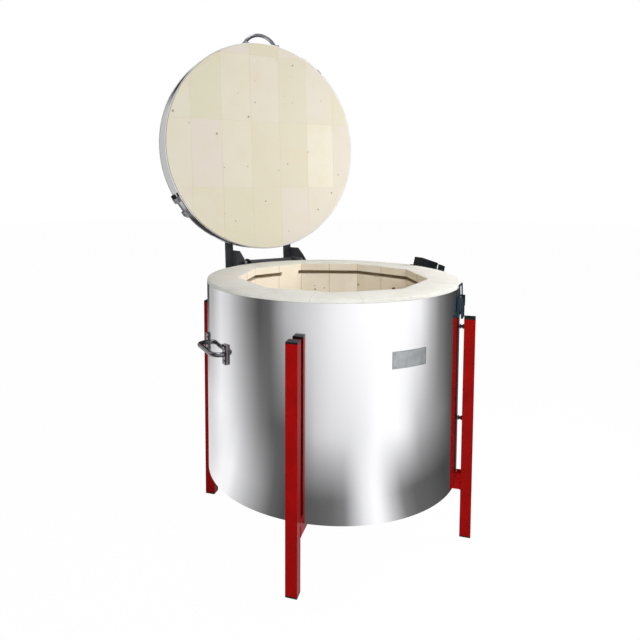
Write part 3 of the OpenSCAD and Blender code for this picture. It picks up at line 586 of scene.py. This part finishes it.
def piece(name, bm, material, body="kiln_body", stands_for=(), sharp=35):
    """Makes an object of the mesh, smooth except at edges sharper than the angle given."""
    bmesh.ops.recalc_face_normals(bm, faces=bm.faces)
    mesh = bpy.data.meshes.new(name)
    bm.to_mesh(mesh)
    bm.free()
    mesh.polygons.foreach_set("use_smooth", [True] * len(mesh.polygons))
    mesh.set_sharp_from_angle(angle=math.radians(sharp))
    mesh.materials.append(material)
    made = bpy.data.objects.new(name, mesh)
    scene.collection.objects.link(made)
    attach(made, body)
    if stands_for:
        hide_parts(*stands_for)
    print(name, len(mesh.polygons), "faces")
    return made


def on_wall(degrees, radius, along, z):
    """A place on a round wall, its Z axis pointing out of the wall."""
    return facing(degrees) @ Matrix.Translation((radius, along, z)) @ Matrix.Rotation(math.pi / 2, 4, "Y")


print("mesh helpers ready")

# %% [markdown]
# ## Heating elements
# Each element is wire of about 2 mm wound into a coil 9 mm across and stretched round the chamber in its
# groove. The solid is a plain bar, so the coil replaces it: a helix whose axis follows the nine walls,
# with straight tails of doubled wire that leave through the back wall. Eight points a turn are enough,
# because each turn is so small.

# %% Heating coils
COIL_MID = WALL_IN + 0.0085
COIL_R, WIRE_R, COIL_PITCH, COIL_POINTS = 0.0034, 0.0011, 0.0056, 8
LEAD_X, LEAD_MID, LEAD_END, LEAD_R = 0.038, 0.32, 0.380, 0.0035


def wall_point(angle, flat):
    """Point of the nine-sided plan at a direction from the front, and the outward direction there."""
    off = (angle - BACK_SIDE + HALF_SIDE) % (2 * HALF_SIDE) - HALF_SIDE
    r = flat / math.cos(off)
    bend = max(0.0, abs(off) - 0.85 * HALF_SIDE) / (0.15 * HALF_SIDE)
    out = angle - off * (1 - 0.5 * bend)
    return (Vector((r * math.sin(angle), -r * math.cos(angle), 0)),
            Vector((math.sin(out), -math.cos(out), 0)))


gap = math.asin(LEAD_X / COIL_MID)
steps = int(2 * math.pi * COIL_MID / COIL_PITCH * COIL_POINTS)
for number, z in enumerate(ELEMENT_Z, 1):
    bm = bmesh.new()
    points = []
    for i in range(steps + 1):
        angle = math.pi + gap + (2 * math.pi - 2 * gap) * i / steps
        centre, out = wall_point(angle, COIL_MID)
        t = 2 * math.pi * i / COIL_POINTS
        points.append(centre + Vector((0, 0, z)) + COIL_R * (math.cos(t) * out + Vector((0, 0, math.sin(t)))))
    drawn(bm, points, WIRE_R, 5)
    for side in (-1, 1):
        start = wall_point(math.pi + side * gap, COIL_MID)[0].y
        drawn(bm, [Vector((-side * LEAD_X, y, z)) for y in (start, LEAD_MID, LEAD_END)], LEAD_R, 10)
    piece(f"heating_coil_{number}", bm, metals["oxidised"], stands_for=[f"element_{number}"])

# %% [markdown]
# ## Rim wash
# The wash is a skin over the wall bricks and the boards: nine-sided on the inside, round on the outside,
# with a soft outer shoulder that runs down to the jacket's edge. It is thinner than the gap under the
# shut lid.

# %% Rim wash
bm = bmesh.new()
SKIN = ((1, 0.0009, -0.0005), (1, 0.0012, 0.0001), (1, 0.0022, 0.0002), (0, 0.3556, 0.0002),
        (0, 0.3580, -0.0008), (0, 0.3593, -0.0030), (0, 0.3597, -0.0060), (0, 0.3597, -0.0097),
        (0, 0.3589, -0.0097), (0, 0.3589, -0.0050), (0, 0.3560, -0.0005))
rings = []
for i in range(360):
    angle = math.radians(i)
    inside = wall_point(angle, WALL_IN)[0].length
    ring = []
    for from_wall, r, z in SKIN:
        reach = inside + r if from_wall else r
        ring.append(bm.verts.new((reach * math.sin(angle), -reach * math.cos(angle), RIM_Z + z)))
    rings.append(ring)
bridged(bm, rings, closed=True)
piece("rim_wash", bm, rim_wash)

# %% [markdown]
# ## Screws, bolts and rivets
# The solids show each fastener as a plain disc. Here they get the heads that catch the light: pan heads
# with a cross recess, chamfered hexagons on washers, and domed rivets. A recess is pressed into the
# turned head by lowering the points that lie on the two arms of the cross.

# %% Pan-head screws
RECESS_R, RECESS_DEPTH, RECESS_ARM = 0.0026, 0.0012, 0.45


def cross(r, a):
    """Depth of the cross recess at a radius and an angle on the head."""
    return RECESS_DEPTH if r < RECESS_R and abs(math.sin(2 * a)) < RECESS_ARM else 0.0


PAN = ((0.0040, 0), (0.0040, 0.0007), (0.0036, 0.0017), (0.0029, 0.0023), (0.0025, 0.0024), (0.0012, 0.0025),
       (0.0007, 0.0025), (0, 0.0025))
SIDE_HANDLE_TURN, SIDE_HANDLE_W, SIDE_SCREW_Z = 91.5, 0.134, (0.526, 0.560)
LID_HANDLE_W, LID_SCREW_Z = 0.116, (0.726, 0.748)
COVER_SCREW_X, COVER_SCREW_Z = 0.068, (0.266, 0.664)
PAD_W, PAD_T, PAD_GAP = 0.020, 0.004, 0.0003


def pad_face(wall, width):
    """Distance from the kiln's axis to the outer face of a handle's pads, which are flat on a round wall."""
    seat = wall + PAD_GAP
    return seat * math.cos(math.asin((width - PAD_W) / 2 / seat)) + PAD_T


bm = bmesh.new()
for angle in (-SIDE_HANDLE_TURN, SIDE_HANDLE_TURN):
    for along in (-SIDE_HANDLE_W / 2, SIDE_HANDLE_W / 2):
        for z in SIDE_SCREW_Z:
            turned(bm, PAN, on_wall(angle, pad_face(JACKET_R, SIDE_HANDLE_W), along, z), 32, cross)
piece("side_handle_pan_screws", bm, metals["zinc"], stands_for=["side_handle_screws"])
bm = bmesh.new()
for along in (-LID_HANDLE_W / 2, LID_HANDLE_W / 2):
    for z in LID_SCREW_Z:
        turned(bm, PAN, OPEN @ on_wall(0, pad_face(LID_R, LID_HANDLE_W), along, z), 32, cross)
piece("lid_handle_pan_screws", bm, metals["zinc"], "lid", ["lid_handle_screws"])
bm = bmesh.new()
for x in (-COVER_SCREW_X, COVER_SCREW_X):
    for z in COVER_SCREW_Z:
        turned(bm, PAN, on_wall(180, COVER_Y, x, z), 32, cross)
piece("cover_pan_screws", bm, metals["zinc"], stands_for=["cover_screws"])

# %% Hexagon bolts


def hexagon(bm, where, wide, tall):
    """A chamfered hexagon head on a washer."""
    turned(bm, ((0, 0), (wide * 1.25, 0), (wide * 1.25, 0.0010), (wide * 0.9, 0.0011)), where, 32)
    turned(bm, ((wide, 0.0010), (wide, tall - 0.0007), (wide * 0.86, tall), (0, tall)), where, 6)


CHEEK_X, BOLT_TURN, HINGE_BOLT_Z = 0.086, 4.5, (0.642, 0.698)
ARM_X, ARM_BOLT_BACK = 0.1156, (0.024, 0.172)
bm = bmesh.new()
hinge_turn = math.degrees(math.asin(CHEEK_X / JACKET_R)) + BOLT_TURN
for side in (-1, 1):
    for z in HINGE_BOLT_Z:
        hexagon(bm, on_wall(180 + side * hinge_turn, JACKET_R + 0.0043, 0, z), 0.0056, 0.0040)
piece("hinge_hexagon_bolts", bm, metals["zinc"], stands_for=["hinge_bolts"])
bm = bmesh.new()
for side in (-1, 1):
    for back in ARM_BOLT_BACK:
        seat = OPEN @ Matrix.Translation((side * ARM_X, LID_R - back, LID_TOP + 0.0053))
        hexagon(bm, seat, 0.0060, 0.0045)
piece("arm_hexagon_bolts", bm, metals["zinc"], "lid", ["arm_bolts"])

# %% Rivets
DOME = ((1.0, 0), (1.0, 0.1), (0.92, 0.42), (0.7, 0.75), (0.4, 0.94), (0, 1.0))


def rivet(bm, where, r, h):
    """A dome of that radius and height."""
    turned(bm, ((0, 0),) + tuple((r * a, h * b) for a, b in DOME), where, 20)


PLATE_RIVET_TURN, PLATE_RIVET_Z = 7, (0.548, 0.580)
LATCH_TURN, LATCH_RIVET_X, LATCH_RIVET_Z = 40, 0.012, (0.634, 0.677)
bm = bmesh.new()
for angle in (-PLATE_RIVET_TURN, PLATE_RIVET_TURN):
    for z in PLATE_RIVET_Z:
        rivet(bm, on_wall(angle, JACKET_R + 0.0013, 0, z), 0.0020, 0.0012)
piece("plate_domed_rivets", bm, metals["zinc"], stands_for=["nameplate_rivets"])
bm = bmesh.new()
for z in LATCH_RIVET_Z:
    for along in (-LATCH_RIVET_X, LATCH_RIVET_X):
        rivet(bm, on_wall(LATCH_TURN, JACKET_R + 0.0025, along, z), 0.0027, 0.0016)
piece("latch_domed_rivets", bm, metals["zinc"], stands_for=["latch_rivets"])

# %% [markdown]
# ## Cable gland
# The supply cord leaves through a black moulded gland under the back cover: a hexagon body, and a dome
# nut with grip ribs, which on the real one squeezes a rubber seal onto the cord.

# %% Cable gland
bm = bmesh.new()
gland = Matrix.Translation((0, JACKET_R + 0.013, 0.252))
NUT_R, GRIP_RIBS = 0.0090, 16
turned(bm, ((0.0115, -0.0003), (0.0115, -0.0070), (0.0106, -0.0078)), gland, 6)
turned(bm, ((0.0050, 0.0078), (0.0080, 0.0078), (0.0080, -0.0003), (0.0112, -0.0003)), gland, 32)
profile = ((0.0106, -0.0078), (NUT_R, -0.0080), (NUT_R, -0.0180), (0.0080, -0.0210), (0.0066, -0.0220),
           (0.0050, -0.0218), (0.0050, 0.0078))
turned(bm, profile, gland, 32)
for i in range(GRIP_RIBS):
    a = 2 * math.pi * i / GRIP_RIBS
    rib = [gland @ Vector((NUT_R * math.cos(a), NUT_R * math.sin(a), z))
           for z in (-0.0085, -0.0130, -0.0178)]
    drawn(bm, rib, 0.0006, 6)
bmesh.ops.remove_doubles(bm, verts=bm.verts, dist=0.000001)
piece("ribbed_cable_gland", bm, moulded["black"], stands_for=["cable_gland"])

# %% [markdown]
# ## Cement in the joints
# The bricks are buttered with a thin refractory cement. It fills each joint to within a fraction of a
# millimetre of the face, so a joint reads as a fine warm line and not as a black gap. The lid is drawn
# shut and then swung open.

# %% Cement joints
cements = {}
for name, dark, light in (("lid refractory cement", "#CDBE99", "#DCCFAF"),
                          ("wall cement, browned", "#C8B592", "#D6C6A6")):
    made, tree, shader, place = begin(name, Roughness=0.95, Specular_IOR_Level=0.15)
    cloud = noise(tree, place, 25, 4.0)
    tone = add(tree, "ValToRGB", {0: cloud}, stops=[(0.3, dark), (0.7, light)]).outputs[0]
    tree.links.new(tone, shader.inputs["Base Color"])
    cements[name.split()[0]] = made


def block(bm, where, low, high):
    """A box between two corners, put at a place."""
    corners = [where @ Vector((x, y, z)) for x in (low[0], high[0]) for y in (low[1], high[1])
               for z in (low[2], high[2])]
    v = [bm.verts.new(c) for c in corners]
    for face in ((0, 1, 3, 2), (4, 6, 7, 5), (0, 4, 5, 1), (2, 3, 7, 6), (0, 2, 6, 4), (1, 5, 7, 3)):
        bm.faces.new([v[i] for i in face])


JOINT = 0.0003
COLUMN_X, COLUMN_W = -0.051, 0.110
COLUMNS = [COLUMN_X + COLUMN_W * i for i in range(-2, 4)]
ROWS = [-0.315, -0.085, 0.145]
CEMENT_R = LID_R - 0.004
CEMENT_LOW, CEMENT_HIGH = RIM_Z + 0.0005, RIM_Z + 0.004
bm = bmesh.new()
for x in COLUMNS:
    half = math.sqrt(CEMENT_R ** 2 - x * x)
    block(bm, OPEN, (x - JOINT, -half, CEMENT_LOW), (x + JOINT, half, CEMENT_HIGH))
for y in ROWS:
    half = math.sqrt(CEMENT_R ** 2 - y * y)
    block(bm, OPEN, (-half, y - JOINT, CEMENT_LOW), (half, y + JOINT, CEMENT_HIGH))
piece("lid_joint_cement", bm, cements["lid"], "lid")
GROOVE_HALF, FLOOR_TOP = 0.0075, 0.2695
bm = bmesh.new()
breaks = [RIM_Z - 0.0006] + [z + d for z in ELEMENT_Z for d in (GROOVE_HALF, -GROOVE_HALF)] + [FLOOR_TOP]
for side in range(CHAMBER_SIDES):
    middle = math.degrees(BACK_SIDE + 2 * side * HALF_SIDE)
    corner = WALL_IN / math.cos(HALF_SIDE)
    for turn_by, r in ((0, WALL_IN), (math.degrees(HALF_SIDE), corner)):
        for top, bottom in zip(breaks[::2], breaks[1::2]):
            block(bm, facing(middle + turn_by), (r - 0.0003, -0.0009, bottom), (r + 0.0040, 0.0009, top))
piece("wall_joint_cement", bm, cements["wall"])

# %% [markdown]
# ## Sheet metal details
# The jacket is one strip whose ends lap at the back under a row of rivets. The back cover is punched with
# louvres: each slot is hooded by the metal that was pushed out of it. The blank plate has a raised
# border.

# %% Jacket seam, louvres and plate border


def curved_strip(bm, start, stop, low, high, inside, outside, steps=24):
    """A strip of a round wall between two angles, two heights and two radii."""
    rings = []
    for i in range(steps + 1):
        place = facing(start + (stop - start) * i / steps)
        rings.append([bm.verts.new(place @ Vector((r, 0, z)))
                      for r, z in ((inside, low), (outside, low), (outside, high), (inside, high))])
    bridged(bm, rings)


SEAM, SEAM_HALF = 207, 1.6
SEAM_RIVETS, SEAM_PITCH = 9, 0.060
bm = bmesh.new()
curved_strip(bm, SEAM - SEAM_HALF, SEAM + SEAM_HALF, JACKET_LOW + 0.002, JACKET_TOP - 0.002,
             JACKET_R, JACKET_R + 0.0009)
piece("jacket_lap_seam", bm, polished["sheet"])
bm = bmesh.new()
for i in range(SEAM_RIVETS):
    rivet(bm, on_wall(SEAM, JACKET_R + 0.0008, 0, JACKET_LOW + 0.03 + i * SEAM_PITCH), 0.0030, 0.0014)
piece("jacket_seam_rivets", bm, metals["zinc"])

LOUVRE_X, LOUVRE_HALF = 0.039, 0.024
LOUVRE_Z, LOUVRE_PITCH, LOUVRE_ROWS = 0.312, 0.016, 10
HOOD = ((0.0, 0.0110), (0.0022, 0.0085), (0.0034, 0.0055), (0.0038, 0.0028), (0.0030, 0.0028),
        (0.0026, 0.0052), (0.0015, 0.0078), (-0.0004, 0.0098))
bm = bmesh.new()
for row in range(LOUVRE_ROWS):
    for side in (-1, 1):
        rings = []
        for across in (-1.0, -0.94, -0.8, 0.8, 0.94, 1.0):
            rise = math.sqrt(max(0.0, 1 - max(0.0, abs(across) - 0.8) ** 2 / 0.04))
            x = side * LOUVRE_X + across * (LOUVRE_HALF + 0.002)
            foot = LOUVRE_Z + row * LOUVRE_PITCH
            rings.append([bm.verts.new((x, COVER_Y + out * rise, foot + z)) for out, z in HOOD])
        bridged(bm, rings)
piece("cover_louvre_hoods", bm, brushed_steel)

PLATE_LOW, PLATE_HIGH, PLATE_TURN = 0.543, 0.585, 8.0
bm = bmesh.new()
face, raised = JACKET_R + 0.0012, JACKET_R + 0.0017
for low, high in ((PLATE_LOW + 0.001, PLATE_LOW + 0.0022), (PLATE_HIGH - 0.0022, PLATE_HIGH - 0.001)):
    curved_strip(bm, -PLATE_TURN + 0.2, PLATE_TURN - 0.2, low, high, face, raised)
for start in (-PLATE_TURN + 0.2, PLATE_TURN - 0.4):
    curved_strip(bm, start, start + 0.2, PLATE_LOW + 0.0022, PLATE_HIGH - 0.0022, face, raised, 1)
piece("plate_raised_border", bm, metals["anodised"])

# %% [markdown]
# ## Lid details
# The cover sheet is rolled over the band at its edge, and the band has a rolled lip on the brick side.
# The band is drawn tight by a clamp: a bolt through two welded blocks, with a hexagon head at one end and
# a dark knurled nut at the other.

# %% Lid edge and band clamp
EDGE_R, EDGE_MID, EDGE_STEPS = 0.0016, LID_R + 0.0002, 180
for name, z in (("lid_rolled_edge", LID_TOP - 0.0010), ("lid_band_lip", LID_LOW + 0.0019)):
    bm = bmesh.new()
    rings = []
    for i in range(EDGE_STEPS):
        place = OPEN @ facing(360 / EDGE_STEPS * i)
        section = [(EDGE_MID + EDGE_R * math.cos(a), 0, z + EDGE_R * math.sin(a))
                   for a in (math.pi * k / 4 for k in range(8))]
        rings.append([bm.verts.new(place @ Vector(p)) for p in section])
    bridged(bm, rings, closed=True)
    piece(name, bm, polished["band"], "lid")

CLAMP_TURN, CLAMP_HALF = -124.5, 0.035
along = facing(CLAMP_TURN) @ Matrix.Translation((LID_R + 0.008, 0, LID_MID))
along = along @ Matrix.Rotation(-math.pi / 2, 4, "X")
bm = bmesh.new()
turned(bm, ((0, CLAMP_HALF), (0.0075, CLAMP_HALF), (0.0085, CLAMP_HALF + 0.001), (0.0085, CLAMP_HALF + 0.011),
            (0.0070, CLAMP_HALF + 0.013), (0, CLAMP_HALF + 0.013)), OPEN @ along, 12)
piece("clamp_knurled_nut", bm, moulded["black"], "lid")
bm = bmesh.new()
far_end = OPEN @ along @ Matrix.Translation((0, 0, -CLAMP_HALF)) @ Matrix.Rotation(math.pi, 4, "X")
hexagon(bm, far_end, 0.0062, 0.0055)
piece("clamp_hexagon_head", bm, metals["zinc"], "lid")

# %% [markdown]
# ## Stand details
# Each standoff bolt is locked by a nut at the jacket and one at the leg. The beams are welded to the
# legs: a bead runs round each end, painted over with the rest.

# %% Standoff nuts and weld beads
LEG_IN = JACKET_R + 0.012
STANDOFF_Z = (0.335, 0.592)
bm = bmesh.new()
for angle in LEG_TURNS:
    for z in STANDOFF_Z:
        for start, tall in ((JACKET_R + 0.0006, 0.0036), (LEG_IN - 0.0040, 0.0038)):
            nut = ((0.0037, 0), (0.0062, 0), (0.0066, 0.0006), (0.0066, tall - 0.0006), (0.0062, tall),
                   (0.0037, tall))
            turned(bm, nut, on_wall(angle, start, 0, z), 6)
piece("standoff_nuts", bm, metals["blackened"])
bm = bmesh.new()
BEAM_HALF, BEAM_MID = 0.015, 0.151
BEAD_R, BEAD_STEPS, BEAD_WOBBLE = 0.0017, 24, 0.0004
for angle in LEG_TURNS:
    for turn_by in range(4):
        edge = Matrix.Rotation(turn_by * math.pi / 2, 4, "X")
        place = facing(angle) @ Matrix.Translation((LEG_IN - 0.0006, 0, BEAM_MID)) @ edge
        bead = []
        for i in range(BEAD_STEPS + 1):
            t = i / BEAD_STEPS
            wobble = BEAD_WOBBLE * math.sin(BEAD_STEPS * t)
            bead.append(place @ Vector((wobble, BEAM_HALF * (1.8 * t - 0.9), BEAM_HALF - 0.0002)))
        drawn(bm, bead, BEAD_R, 8)
piece("beam_weld_beads", bm, powder_coats["red"])

# %% [markdown]
# ## Control socket
# The socket's housing is moulded with grip ribs on its sides, and three more ribs lie across its top near
# the cap.

# %% Socket ribs
SOCKET_TURN, SOCKET_SLOPE = 99, math.radians(17)
SOCKET = facing(SOCKET_TURN) @ Matrix.Translation((JACKET_R + 0.005, 0, RIM_Z))
SOCKET = SOCKET @ Matrix.Rotation(SOCKET_SLOPE, 4, "Y")
RIB_PITCH, RIB_W, RIB_Y = 0.007, 0.003, 0.0172
bm = bmesh.new()
for i in range(6):
    x = 0.030 + i * RIB_PITCH
    for side in (-1, 1):
        block(bm, SOCKET, (x, side * RIB_Y - 0.0007, 0.006), (x + RIB_W, side * RIB_Y + 0.0007, 0.022))
for i in range(3):
    x = 0.096 + i * RIB_PITCH
    block(bm, SOCKET, (x, -0.014, 0.0247), (x + RIB_W, 0.014, 0.0258))
piece("socket_grip_ribs", bm, moulded["nylon"])
